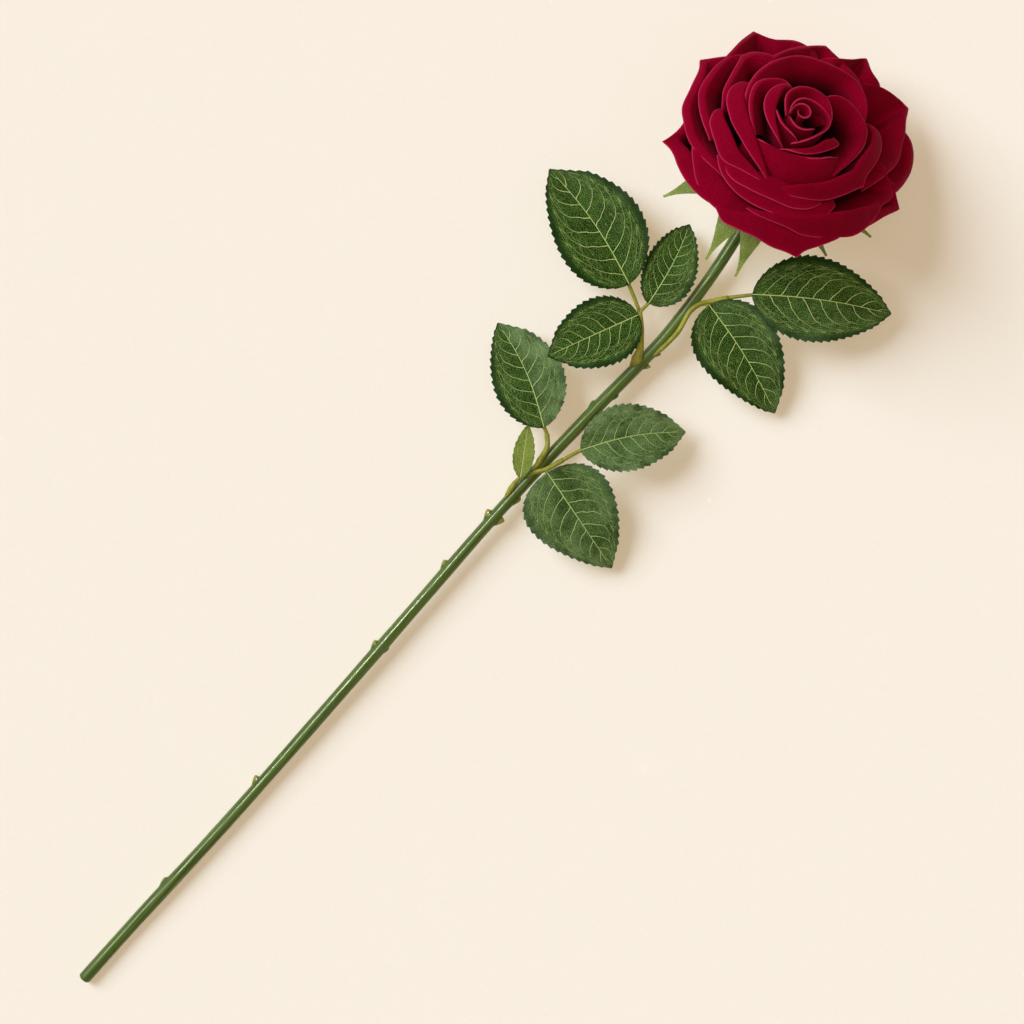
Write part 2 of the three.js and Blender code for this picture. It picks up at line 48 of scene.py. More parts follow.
scene = bpy.context.scene
scene.view_settings.view_transform = "Standard"
camera = bpy.data.objects.new("camera", bpy.data.cameras.new("camera"))
camera.data.sensor_width = 36
camera.data.lens = 107.54
camera.location = (-CENTRE[0] / 1000, -CENTRE[1] / 1000, CAMERA_HEIGHT)
camera.rotation_euler = (0, 0, CAMERA_TURN)
scene.collection.objects.link(camera)
scene.camera = camera


# ---- Table and light ----
# A plain cream table top, lit by a cool window low on the stem's left, the upper left of the picture, a warm
# soft panel over the camera and a weak fill from all round. The panel's bounce reaches the table under the
# rose too, and highlights come from a small lamp on the window's side.
def feed(tree, socket, value):
    """Links a socket to another one, or sets it to a plain value."""
    if isinstance(value, bpy.types.NodeSocket):
        tree.links.new(value, socket)
    else:
        socket.default_value = value


def node(tree, kind, **values):
    """A shader node. Each value goes to the property or input of its name, in which _ stands for a space.

    A value named _0 goes to input 0, and so on.
    """
    made = tree.nodes.new("ShaderNode" + kind)
    for name, value in values.items():
        if hasattr(made, name):
            setattr(made, name, value)
        else:
            feed(tree, made.inputs[int(name[1:]) if name[0] == "_" else name.replace("_", " ")], value)
    return made


def math_node(tree, operation, a, b=0.0, c=0.0):
    """A result of up to three numbers or sockets."""
    return node(tree, "Math", operation=operation, _0=a, _1=b, _2=c).outputs[0]


def mix_colour(tree, share, a, b):
    """A colour with this share of b in a."""
    return node(tree, "Mix", data_type="RGBA", _0=share, _6=a, _7=b).outputs[2]


def noise(tree, scale, detail=2.0, roughness=0.5, vector=None):
    """Noise over the object's own coordinates in metres, or over others."""
    vector = vector or node(tree, "TexCoord").outputs["Object"]
    return node(tree, "TexNoise", Scale=scale, Detail=detail, Roughness=roughness, Vector=vector).outputs[0]


def srgb(red, green, blue):
    """A shader colour from the numbers, 0 to 255, that a picture has for it."""
    share = np.array([red, green, blue]) / 255
    linear = np.where(share < 0.04045, share / 12.92, ((share + 0.055) / 1.055) ** 2.4)
    return (*linear.tolist(), 1.0)


def new_material(name, **constants):
    """A material with its node tree and its shader, some of whose sockets get constant values."""
    made = bpy.data.materials.new(name)
    made.use_nodes = True
    shader = made.node_tree.nodes["Principled BSDF"]
    for socket, value in constants.items():
        shader.inputs[socket.replace("_", " ")].default_value = value
    return made, made.node_tree, shader


def dress(tree, shader, colour, roughness=None, relief=None, strength=0.3, rise=0.0002):
    """Feeds a shader its colour and, where they are given, its roughness and a bump that rises so many metres."""
    tree.links.new(colour, shader.inputs["Base Color"])
    if roughness is not None:
        tree.links.new(roughness, shader.inputs["Roughness"])
    if relief is not None:
        bump = node(tree, "Bump", Strength=strength, Distance=rise, Height=relief)
        tree.links.new(bump.outputs[0], shader.inputs["Normal"])


table_paper, tree, shader = new_material("table_cream", Roughness=0.85, Specular_IOR_Level=0.2)
mottle = noise(tree, 900.0, 3.0)
dress(tree, shader, mix_colour(tree, mottle, srgb(240, 231, 220), srgb(245, 236, 226)), relief=mottle, strength=0.05)

table = bpy.data.meshes.new("table")
table.from_pydata([(-3, -3, 0), (3, -3, 0), (3, 3, 0), (-3, 3, 0)], [], [(0, 1, 2, 3)])
table.materials.append(table_paper)
table_top = bpy.data.objects.new("table_top", table)
scene.collection.objects.link(table_top)

# Each lamp's energy, angle, colour, tilt and turn, and whether it makes the highlights and nothing else
PANEL = (1.62, 36, (1.0, 0.83, 0.59), 0, 0, False)
LAMPS = {
    "window": (3.05, 38, (0.70, 0.84, 1.0), -52, 9, False),
    "overhead": PANEL,
    "bounce": PANEL,
    "glint": (1.6, 7, (1.0, 0.99, 0.88), -32, 9, True),
}
lamps = {}
for name, (energy, angle, colour, tilt, turn, glossy) in LAMPS.items():
    lamp = bpy.data.objects.new(name + "_light", bpy.data.lights.new(name + "_light", "SUN"))
    lamp.data.energy, lamp.data.angle, lamp.data.color = energy, math.radians(angle), colour
    lamp.rotation_euler = (math.radians(tilt), 0, math.radians(turn))
    lamp.visible_glossy, lamp.visible_diffuse = glossy, not glossy
    scene.collection.objects.link(lamp)
    lamps[name] = lamp
# The overhead light falls on all but the table, and the bounce on the table alone, where only the table stops it
for name, state in (("overhead", "EXCLUDE"), ("bounce", "INCLUDE")):
    receivers = bpy.data.collections.new(name + "_receivers")
    receivers.objects.link(table_top)
    receivers.collection_objects[0].light_linking.link_state = state
    lamps[name].light_linking.receiver_collection = receivers
lamps["bounce"].light_linking.blocker_collection = lamps["bounce"].light_linking.receiver_collection

# The surround is weak as a light and bright where it shows, above the table's edge
FILL, BACKDROP = 0.14, 0.84
surround = bpy.data.worlds.new("surround")
surround.use_nodes = True
tree = surround.node_tree
background = tree.nodes["Background"]
background.inputs["Color"].default_value = (1.0, 0.93, 0.82, 1)
seen = node(tree, "LightPath").outputs["Is Camera Ray"]
tree.links.new(math_node(tree, "MULTIPLY_ADD", seen, BACKDROP - FILL, FILL), background.inputs["Strength"])
scene.world = surround


# ---- Stem ----
# A moulded green plastic tube over a steel wire, with blunt leaf-scar nubs on its flanks and thorns near the
# sprays. Its cut end lies on the table, and at the neck it bends up into the calyx cup.
def spread(tree, value, low, high, to_low=0.0, to_high=1.0):
    """A value carried over from one range to another by a smooth step."""
    return node(tree, "MapRange", interpolation_type="SMOOTHSTEP", Value=value, From_Min=low, From_Max=high,
                To_Min=to_low, To_Max=to_high).outputs[0]


def smooth_line(points, steps):
    """Points on a centripetal Catmull-Rom curve, so many for each stretch between two given points."""
    given = np.array(points, float)
    padded = np.vstack([2 * given[0] - given[1], given, 2 * given[-1] - given[-2]])
    line = []
    share = np.linspace(0, 1, steps, endpoint=False)[:, None]
    for before, start, end, after in zip(padded, padded[1:], padded[2:], padded[3:]):
        first, middle, last = (np.linalg.norm(b - a) ** 0.5 for a, b in ((before, start), (start, end), (end, after)))
        leave = middle * ((start - before) / first - (end - before) / (first + middle)) + end - start
        arrive = middle * ((after - end) / last - (after - start) / (middle + last)) + end - start
        line.append(
            (2 * share**3 - 3 * share**2 + 1) * start
            + (share**3 - 2 * share**2 + share) * leave
            + (3 * share**2 - 2 * share**3) * end
            + (share**3 - share**2) * arrive
        )
    return np.vstack(line + [given[-1:]])


def distances(line):
    """How far along a line each of its points lies."""
    return np.concatenate([[0], np.cumsum(np.linalg.norm(np.diff(line, axis=0), axis=1))])


def frames(line, towards):
    """Directions along a line and two across it, the first as near as it can be to a given direction."""
    along = np.gradient(line, axis=0)
    along /= np.linalg.norm(along, axis=1)[:, None]
    side = np.array(towards, float) - (along @ np.array(towards, float))[:, None] * along
    side /= np.linalg.norm(side, axis=1)[:, None]
    return along, side, np.cross(along, side)


def tube_rings(line, radius, sides, towards):
    """Ring points of a tube, the direction out of it at each, and each one's angle round the line."""
    _, side, up = frames(line, towards)
    angle = np.linspace(0, 2 * math.pi, sides, endpoint=False)
    out = np.cos(angle)[None, :, None] * side[:, None] + np.sin(angle)[None, :, None] * up[:, None]
    return line[:, None] + np.asarray(radius)[..., None, None] * out, out, angle


def tube_faces(rings, sides):
    """Faces of a tube that is closed at both ends."""
    faces = []
    for ring in range(rings - 1):
        for i in range(sides):
            j = (i + 1) % sides
            a, b = ring * sides, (ring + 1) * sides
            faces.append((a + i, a + j, b + j, b + i))
    faces.append(tuple(range(sides))[::-1])
    faces.append(tuple(range((rings - 1) * sides, rings * sides)))
    return faces


def add_piece(name, points, faces, materials, replaced, uvs=None):
    """A mesh from points in millimetres that rides on the root body and stands for CAD nodes."""
    mesh = bpy.data.meshes.new(name)
    mesh.from_pydata(((points - CENTRE) / 1000).tolist(), [], faces)
    for layer, values in (uvs or {}).items():
        target = mesh.uv_layers.new(name=layer)
        corners = np.empty(len(mesh.loops), int)
        mesh.loops.foreach_get("vertex_index", corners)
        target.data.foreach_set("uv", values[corners].astype(np.float32).ravel())
    for material in materials:
        mesh.materials.append(material)
    mesh.shade_smooth()
    piece = bpy.data.objects.new(name, mesh)
    scene.collection.objects.link(piece)
    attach(piece, "root")
    if replaced:
        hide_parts(*replaced)
    return piece


STEM_ROUTE = [
    (-269, 9.5, 2.3), (-264, 9.4, 2.4), (-235, 8.7, 2.7), (-189, 6.9, 3.4), (-150, 6, 3.9), (-98, 5.3, 4.7),
    (-53.5, 4.9, 5.3), (-10, 4.5, 5.9), (25, 3.3, 6.4), (43.5, 2.2, 6.7), (59, 1.3, 6.9), (82.5, -0.4, 7.2),
    (96, -1.1, 7.4), (109, -0.8, 7.6), (123.5, 0.1, 7.8), (135, 1.2, 8), (149, 3.2, 8.1), (160, 5.5, 8.1),
    (166.4, 7.8, 8.1), (170.2, 9.5, 8.9), (173.4, 11, 11.3), (175.8, 12, 14.9), (178.1, 12.4, 20.5),
]
STEM_RADIUS, STEM_SIDES, STEM_STEP = 2.62, 40, 0.45
# x, degrees from the top (left is positive), length, height over the stem's surface
NUBS = [
    (-214.5, 90, 5, 1.0), (-156.5, 90, 4.5, 1.8), (-80, 85, 4.5, 1.4), (-78.5, -95, 3.5, 0.6),
    (-35, 90, 4.5, 1.5), (-7, 85, 5, 2.0), (-6, -90, 5, 2.0), (5.5, -90, 5, 1.1), (57, 85, 4, 0.8),
    (66, -85, 3.5, 0.7), (84, -95, 3, 1.8), (91, -110, 3, 1.4),
]
NUB_HALF_WIDTH, NUB_SLANT = 1.7, 0.45

curve = smooth_line(STEM_ROUTE, 60)
travelled = distances(curve)
even = np.arange(0, travelled[-1], STEM_STEP)
axis = np.stack([np.interp(even, travelled, curve[:, k]) for k in range(3)], 1)
# slightly uneven along its length, and rounded where it is cut
bulk = STEM_RADIUS + 0.05 * np.sin(even / 23.0) + 0.04 * np.sin(even / 7.3 + 1)
bulk = bulk - 0.9 * np.clip(1 - even / 1.2, 0, 1) ** 2
rings, out, angle = tube_rings(axis, bulk, STEM_SIDES, (0, 1, 0))
along = frames(axis, (0, 1, 0))[0]
swell = np.zeros(rings.shape[:2])
for x, side, length, height in NUBS:
    ahead = axis[:, 0][:, None] - x
    round_by = (angle[None] - math.radians(90 - side) + math.pi) % (2 * math.pi) - math.pi
    reach = np.where(ahead < 0, 0.75 * length, 0.4 * length)
    far = np.sqrt((ahead / reach) ** 2 + (round_by * 2.6 / NUB_HALF_WIDTH) ** 2)
    swell = np.maximum(swell, height * (1 - np.clip(far, 0, 1) ** 2) ** 1.5)
rings = rings + swell[..., None] * out + (NUB_SLANT * swell)[..., None] * along[:, None]
rings[..., 2] = np.maximum(rings[..., 2], 0.0)
stem_uv = np.stack([np.repeat(even / 100, STEM_SIDES), np.clip(swell.ravel() / 1.2, 0, 1)], 1)

plastic, tree, shader = new_material("stem_plastic", Roughness=0.34, Specular_IOR_Level=0.5, Coat_Weight=0.15)
place = node(tree, "TexCoord").outputs["Object"]
streak = noise(tree, 1.0, 3.0, 0.6, node(tree, "Mapping", Vector=place, Scale=(14.0, 900.0, 900.0)).outputs[0])
patch = noise(tree, 90.0, 3.0, 0.6)
green = mix_colour(tree, spread(tree, streak, 0.35, 0.65), srgb(58, 76, 18), srgb(86, 108, 36))
green = mix_colour(tree, spread(tree, patch, 0.4, 0.7, 0.0, 0.5), green, srgb(76, 100, 38))
on_nub = node(tree, "SeparateXYZ", _0=node(tree, "UVMap", uv_map="UVMap").outputs[0]).outputs[1]
green = mix_colour(tree, spread(tree, on_nub, 0.25, 0.9), green, srgb(150, 135, 58))
ridges = math_node(tree, "ADD", streak, math_node(tree, "MULTIPLY", noise(tree, 1500.0, 2.0), 0.25))
dress(tree, shader, green, spread(tree, patch, 0.3, 0.7, 0.26, 0.42), ridges, 0.22, 0.0004)
add_piece("stem_tube", rings.reshape(-1, 3), tube_faces(len(axis), STEM_SIDES), [plastic],
          ["stem"], {"UVMap": stem_uv})


# ---- Stem wire ----
# An annealed steel wire, pushed into the tube's bore, that keeps the bend of the neck. It shows only in the
# tube's open upper end, inside the calyx cup.
steel, tree, shader = new_material("drawn_steel", Metallic=1.0, Roughness=0.42)
place = node(tree, "TexCoord").outputs["Object"]
scratch = noise(tree, 1.0, 3.0, 0.6, node(tree, "Mapping", Vector=place, Scale=(60.0, 3000.0, 3000.0)).outputs[0])
dress(tree, shader, mix_colour(tree, scratch, (0.30, 0.31, 0.31, 1), (0.55, 0.55, 0.54, 1)),
      spread(tree, scratch, 0.2, 0.8, 0.3, 0.55))
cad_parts["stem_wire"].data.materials.clear()
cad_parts["stem_wire"].data.materials.append(steel)


# ---- Leaf sprays ----
# Moulded olive petioles clipped to the stem's flanks, with a thin rib that runs on under each leaf's midrib
# and is fused to the fabric.

# Each leaf's base, tip, half-widths, two powers that shape each side's outline, its bow to the left, its number
# of teeth, and how much painted sheen lightens its satin. A pair is the left side and the right one.
LEAVES = {
    "leaf_a_large": ((104.9, 24.9, 13.8), (120.3, 81.9, 9), (19.3, 19.2), (0.74, 0.76), (0.73, 0.6), -2.3, 21,
                     (0.02, 0.05)),
    "leaf_a_right": ((104.2, 13.4, 12.7), (141.2, 21.8, 6), (10.8, 11.9), (0.86, 0.64), (0.66, 0.66), -1.3, 17,
                     (0.04, 0.1)),
    "leaf_a_left": ((97.5, 13.5, 13), (59.6, 31.3, 12.5), (14.8, 14.4), (0.72, 0.76), (0.6, 0.66), 0, 18,
                    (0.02, 0.05)),
    "leaf_b_large": ((135.2, -17.5, 15.3), (167.3, -67.3, 10), (17.8, 18.2), (0.73, 0.8), (0.7, 0.74), 1.6, 22,
                     (0.06, 0.12)),
    "leaf_b_low": ((120, -6.8, 13.3), (104.1, -57.3, 5), (17, 17.7), (0.69, 0.63), (0.65, 0.76), 1.5, 20,
                   (0.15, 0.05)),
    "leaf_c_right": ((38.7, -5.1, 14.3), (73.2, -33.7, 9), (14, 14.3), (0.75, 0.85), (0.65, 0.71), 2.1, 18,
                     (0.5, 0.38)),
    "leaf_c_low": ((22.2, -0.6, 12.3), (9.4, -47.4, 5), (19, 19.5), (0.63, 0.57), (0.71, 0.76), 0, 20, (0.25, 0.42)),
    "leaf_d": ((35.9, 13.1, 11.4), (57, 56.5, 5), (15.4, 15.1), (0.79, 0.78), (0.8, 0.6), -2.5, 18, (0.06, 0.42)),
    "leaf_young": ((13.4, 6.8, 11), (32, 18.5, 8.5), (4.5, 4.5), (0.8, 0.8), (0.68, 0.68), 0, 9, (0, 0)),
}
LEAF_ARCH = 2.0


def midrib(name, share):
    """The line in the middle of a blade at these shares of its length, with its directions left and up."""
    base, tip, bow = np.array(LEAVES[name][0]), np.array(LEAVES[name][1]), LEAVES[name][5]
    run = tip - base
    left = np.array([-run[1], run[0], 0]) / math.hypot(run[0], run[1])
    crown = np.cross(run / np.linalg.norm(run), left)
    hump = np.sin(math.pi * share)[:, None]
    return base + share[:, None] * run + bow * hump * left + LEAF_ARCH * hump * crown, left, crown


# How far each spray flares at its clip, the route of its petiole, and where on it each leaf's rib starts
SPRAYS = {
    "spray_a": (
        2.0,
        [(78.5, 1.6, 8.4), (82.5, 1.8, 9.6), (87, 3.4, 10.6), (91, 6.1, 11), (95.3, 9.8, 11.2), (99, 13.8, 11.2)],
        {"leaf_a_large": (99, 13.8, 11.2), "leaf_a_right": (99, 13.8, 11.2), "leaf_a_left": (99, 13.8, 11.2)},
    ),
    "spray_b": (
        0.9,
        [(88.5, -2.4, 8.8), (93.5, -3.3, 10), (103, -3.9, 10.8), (113, -2.2, 11.7), (117.6, -3.2, 11.9),
         (121.5, -5.9, 11.9), (127.7, -10.6, 12.1)],
        {"leaf_b_large": (127.7, -10.6, 12.1), "leaf_b_low": (119.6, -4.5, 11.9)},
    ),
    "spray_c": (
        0.9,
        [(15.5, 4.6, 8.2), (18.8, 3.6, 9.8), (22.8, 0.9, 10.7), (30.6, -2.1, 10.8)],
        {"leaf_c_right": (30.6, -2.1, 10.8), "leaf_c_low": (22.8, 0.9, 10.7)},
    ),
    "spray_d": (
        1.1,
        [(19, 4.6, 9), (23.5, 5.2, 10), (30.5, 6.6, 9.9), (34.6, 10.2, 9.9)],
        {"leaf_d": (34.6, 10.2, 9.9)},
    ),
    "stalk_young": (1.4, [(2, 6, 8), (5.5, 6.6, 9), (10.4, 7.2, 9.4)], {"leaf_young": (10.4, 7.2, 9.4)}),
}
PETIOLE_SIDES = 14
PETIOLE_RADIUS, YOUNG_PETIOLE_RADIUS, RIB_RADIUS = 1.1, 0.8, 0.85
RIB_DROP = 1.3  # of a rib's middle below the fabric's

olive, tree, shader = new_material("petiole_plastic", Roughness=0.45, Specular_IOR_Level=0.45)
patch = noise(tree, 160.0, 3.0, 0.6)
fine = noise(tree, 1800.0, 2.0)
moulded = mix_colour(tree, spread(tree, patch, 0.35, 0.65), srgb(122, 122, 32), srgb(156, 154, 58))
moulded = mix_colour(tree, spread(tree, fine, 0.3, 0.8, 0.0, 0.35), moulded, srgb(96, 92, 34))
dress(tree, shader, moulded, spread(tree, fine, 0.3, 0.7, 0.38, 0.55), fine)

for name, (flare, petiole, ribs) in SPRAYS.items():
    line = smooth_line(petiole, 12)
    thick = YOUNG_PETIOLE_RADIUS if name == "stalk_young" else PETIOLE_RADIUS
    foot = np.interp(distances(line), [0, 2, 5, 9, 14], [0.3, 0.7 * flare, 1.1 * flare, 0.5 + 0.5 * flare, 1.0])
    runs = [(line, thick * foot)]
    for leaf, start in ribs.items():
        under, _, crown = midrib(leaf, np.array([0.03, 0.1, 0.2, 0.35, 0.52, 0.7]))
        line = smooth_line(np.vstack([[start], under - RIB_DROP * crown]), 8)
        runs.append((line, RIB_RADIUS * (1 - 0.55 * np.linspace(0, 1, len(line)))))
    points, faces = [], []
    for line, radius in runs:
        rings, _, _ = tube_rings(line, radius, PETIOLE_SIDES, (0, 0, 1))
        offset = sum(len(p) for p in points)
        points.append(rings.reshape(-1, 3))
        faces += [tuple(i + offset for i in face) for face in tube_faces(len(line), PETIOLE_SIDES)]
    add_piece(name + "_moulding", np.vstack(points), faces, [olive], [name])


# ---- Leaves ----
# Stiffened satin, die-cut with forward teeth and printed with pale veins that are also pressed in. Each blade
# is a thin arched shell, folded a little along its midrib.
def shell(name, middle, thickness, materials, replaced, uvs):
    """A closed thin piece on a grid of middle points, with its cut edges in the last material.

    A layer of uvs has one value for each point of the grid, or one for each on both sides.
    """
    rows, columns = middle.shape[:2]
    normal = np.cross(np.gradient(middle, axis=1), np.gradient(middle, axis=0))
    normal /= np.maximum(np.linalg.norm(normal, axis=2), 1e-9)[..., None]
    points = np.vstack([(middle + s * thickness / 2 * normal).reshape(-1, 3) for s in (1, -1)])
    count = rows * columns
    cell = (np.arange(rows - 1)[:, None] * columns + np.arange(columns - 1)[None]).ravel()
    top = np.stack([cell, cell + 1, cell + columns + 1, cell + columns], 1)
    faces = top.tolist() + (top[:, ::-1] + count).tolist()
    ring = list(range(columns)) + [r * columns + columns - 1 for r in range(1, rows)]
    ring += [(rows - 1) * columns + c for c in range(columns - 2, -1, -1)]
    ring += [r * columns for r in range(rows - 2, 0, -1)]
    walls = [(b, a, a + count, b + count) for a, b in zip(ring, ring[1:] + ring[:1])]
    uvs = {layer: np.resize(values, (2 * count, 2)) for layer, values in uvs.items()}
    mesh = add_piece(name, points, faces + walls, materials, replaced, uvs).data
    kinds = np.zeros(len(mesh.polygons), np.int32)
    kinds[len(faces):] = len(materials) - 1
    mesh.polygons.foreach_set("material_index", kinds)
    # the edges between a side and a cut edge stay sharp
    border = np.zeros(2 * count, bool)
    border[ring + [r + count for r in ring]] = True
    ends = np.empty(2 * len(mesh.edges), int)
    mesh.edges.foreach_get("vertices", ends)
    ends = ends.reshape(-1, 2)
    sharp = border[ends].all(1) & ((ends < count).all(1) | (ends >= count).all(1))
    mesh.attributes.new("sharp_edge", "BOOLEAN", "EDGE").data.foreach_set("value", sharp)


# The vein print: a midrib, side veins that bow forward and loop, and a fine net that stops short of the margin.
# The functions after it are short forms for its own tree.
veins = bpy.data.node_groups.new("vein_print", "ShaderNodeTree")
for label in ("Veins", "Net", "Margin", "Valley"):
    veins.interface.new_socket(label, in_out="OUTPUT", socket_type="NodeSocketFloat")


def calc(operation, a, b=0.0, c=0.0):
    return math_node(veins, operation, a, b, c)


def times(a, b):
    return calc("MULTIPLY", a, b)


def ramp(value, low, high, to_low=0.0, to_high=1.0):
    return spread(veins, value, low, high, to_low, to_high)


def lines(scale, **values):
    """Distance from the borders of cells drawn on the bent flat coordinates."""
    return node(veins, "TexVoronoi", feature="DISTANCE_TO_EDGE", voronoi_dimensions="2D", Scale=scale,
                Vector=bent, **values).outputs["Distance"]


# UVMap runs from 0 to 1 along and across a blade, and Flat in tenths of a metre, with the midrib at 0.5
up_leaf, across_leaf = node(veins, "SeparateXYZ", _0=node(veins, "UVMap", uv_map="UVMap").outputs[0]).outputs[:2]
flat_uv = node(veins, "UVMap", uv_map="Flat").outputs[0]
flat_across = node(veins, "SeparateXYZ", _0=flat_uv).outputs[1]
shift = node(veins, "TexNoise", Scale=60.0, Vector=flat_uv).outputs[1]
shift = node(veins, "VectorMath", operation="SCALE", _0=shift, Scale=0.012).outputs[0]
bent = node(veins, "VectorMath", operation="ADD", _0=flat_uv, _1=shift).outputs[0]
across_leaf = calc("MULTIPLY_ADD", across_leaf, 2.0, -1.0)
off_rib = calc("ABSOLUTE", across_leaf)
off_rib_mm = calc("ABSOLUTE", calc("MULTIPLY_ADD", flat_across, 100.0, -50.0))

# side veins, which end at the arches, and the bands beside them where the net shows less
outward = calc("DIVIDE", off_rib, 0.7)
bend = calc("MULTIPLY_ADD", calc("POWER", outward, 5.0), 0.13, times(outward, 0.12))
phase = calc("DIVIDE", calc("SUBTRACT", up_leaf, bend), 0.118)
wobble = calc("MULTIPLY_ADD", noise(veins, 12.0, 2.0, 0.5, flat_uv), 0.5, -0.25)
phase = calc("ADD", calc("MULTIPLY_ADD", calc("GREATER_THAN", across_leaf, 0.0), 0.42, phase), wobble)
near = calc("SUBTRACT", 0.5, calc("ABSOLUTE", calc("SUBTRACT", calc("FRACT", phase), 0.5)))
widths_off = calc("DIVIDE", near, calc("MULTIPLY_ADD", outward, -0.016, 0.044))
valley = times(ramp(widths_off, 1.0, 3.4, 1.0, 0.0), ramp(outward, 0.9, 1.12, 1.0, 0.0))
side_veins = times(ramp(widths_off, 0.5, 1.0, 1.0, 0.0), ramp(outward, 0.95, 1.12, 1.0, 0.0))
side_veins = times(side_veins, ramp(up_leaf, 0.03, 0.08))

# the midrib, which gets thinner towards the tip
main_vein = ramp(calc("DIVIDE", off_rib_mm, calc("MULTIPLY_ADD", up_leaf, -0.18, 0.32)), 0.5, 1.0, 1.0, 0.0)
main_vein = times(main_vein, ramp(up_leaf, 0.9, 0.96, 1.0, 0.0))

# loops between the side veins, and arches that join the ends of those
loop_veins = times(ramp(lines(24.0), 0.015, 0.05, 0.75, 0.0), ramp(off_rib, 0.2, 0.6, 0.2, 0.8))
loop_veins = times(loop_veins, ramp(off_rib, 0.78, 0.86, 0.5, 0.0))
swing = calc("ABSOLUTE", calc("SINE", times(phase, math.pi)))
for first, strength in ((1.0, 0.85), (0.72, 0.4)):
    arch = calc("ABSOLUTE", calc("SUBTRACT", outward, calc("MULTIPLY_ADD", swing, 0.11, first)))
    loop_veins = calc("MAXIMUM", loop_veins, ramp(arch, 0.006, 0.022, strength, 0.0))

# rungs across the strips between the side veins, and the net
inside = ramp(off_rib, 0.8, 0.92, 1.0, 0.0)
rungs = calc("MULTIPLY_ADD", off_rib_mm, 0.62, times(noise(veins, 26.0, 2.0, 0.5, flat_uv), 3.4))
rungs = ramp(calc("ABSOLUTE", calc("SUBTRACT", calc("FRACT", rungs), 0.5)), 0.03, 0.1, 0.4, 0.0)
rungs = times(rungs, ramp(noise(veins, 55.0, 2.0, 0.5, flat_uv), 0.4, 0.55))
weak = times(calc("MAXIMUM", loop_veins, times(rungs, inside)), 0.55)
strong = calc("MAXIMUM", calc("MAXIMUM", side_veins, main_vein), weak)
net = times(ramp(lines(112.0, Randomness=0.8), 0.03, 0.17, 1.0, 0.0), inside)
outputs = veins.nodes.new("NodeGroupOutput")
for socket, value in zip(outputs.inputs, (strong, net, inside, valley)):
    veins.links.new(value, socket)

satins = {}
for kind, dark, light, margin_green, vein_green, net_green in (
    ("leaf", (0, 9, 0), (8, 31, 0), (19, 49, 3), (180, 198, 118), (85, 125, 37)),
    ("young", (84, 102, 28), (120, 138, 48), (112, 128, 46), (190, 194, 124), (142, 156, 76)),
):
    satins[kind], tree, shader = new_material(kind + "_satin", Roughness=0.55, Specular_IOR_Level=0.12)
    printed = node(tree, "Group", node_tree=veins).outputs
    weave = noise(tree, 1900.0, 2.0, 0.6)
    cloud = noise(tree, 130.0, 3.0, 0.6)
    ground = mix_colour(tree, spread(tree, weave, 0.42, 0.6), srgb(*dark), srgb(*light))
    ground = mix_colour(tree, spread(tree, cloud, 0.3, 0.7, 0.0, 0.3), ground, srgb(*margin_green))
    ground = mix_colour(tree, printed["Margin"], mix_colour(tree, 0.7, ground, srgb(*margin_green)), ground)
    open_net = spread(tree, printed["Valley"], 0.0, 1.0, 0.9, 0.25)
    open_net = math_node(tree, "MULTIPLY", open_net, spread(tree, cloud, 0.25, 0.7, 0.55, 1.1))
    ground = mix_colour(tree, math_node(tree, "MULTIPLY", printed["Net"], open_net), ground, srgb(*net_green))
    colour = mix_colour(tree, printed["Veins"], ground, srgb(*vein_green))
    # painted sheen: in uneven patches the satin turns a lighter grey green, by as much as the layer read here says
    painted_sheen = node(tree, "SeparateXYZ", _0=node(tree, "UVMap", uv_map="PaintedSheen").outputs[0]).outputs[0]
    uneven = math_node(tree, "MULTIPLY", spread(tree, cloud, 0.3, 0.65, 0.3, 1.2),
                       spread(tree, weave, 0.35, 0.65, 0.5, 1.3))
    colour = mix_colour(tree, math_node(tree, "MULTIPLY", painted_sheen, uneven), colour, srgb(138, 164, 112))
    relief = math_node(tree, "MULTIPLY_ADD", printed["Veins"], -1.0, math_node(tree, "MULTIPLY", weave, 0.3))
    relief = math_node(tree, "MULTIPLY_ADD", printed["Net"], -0.25, relief)
    dress(tree, shader, colour, spread(tree, weave, 0.3, 0.7, 0.42, 0.6), relief, 0.7, 0.0004)

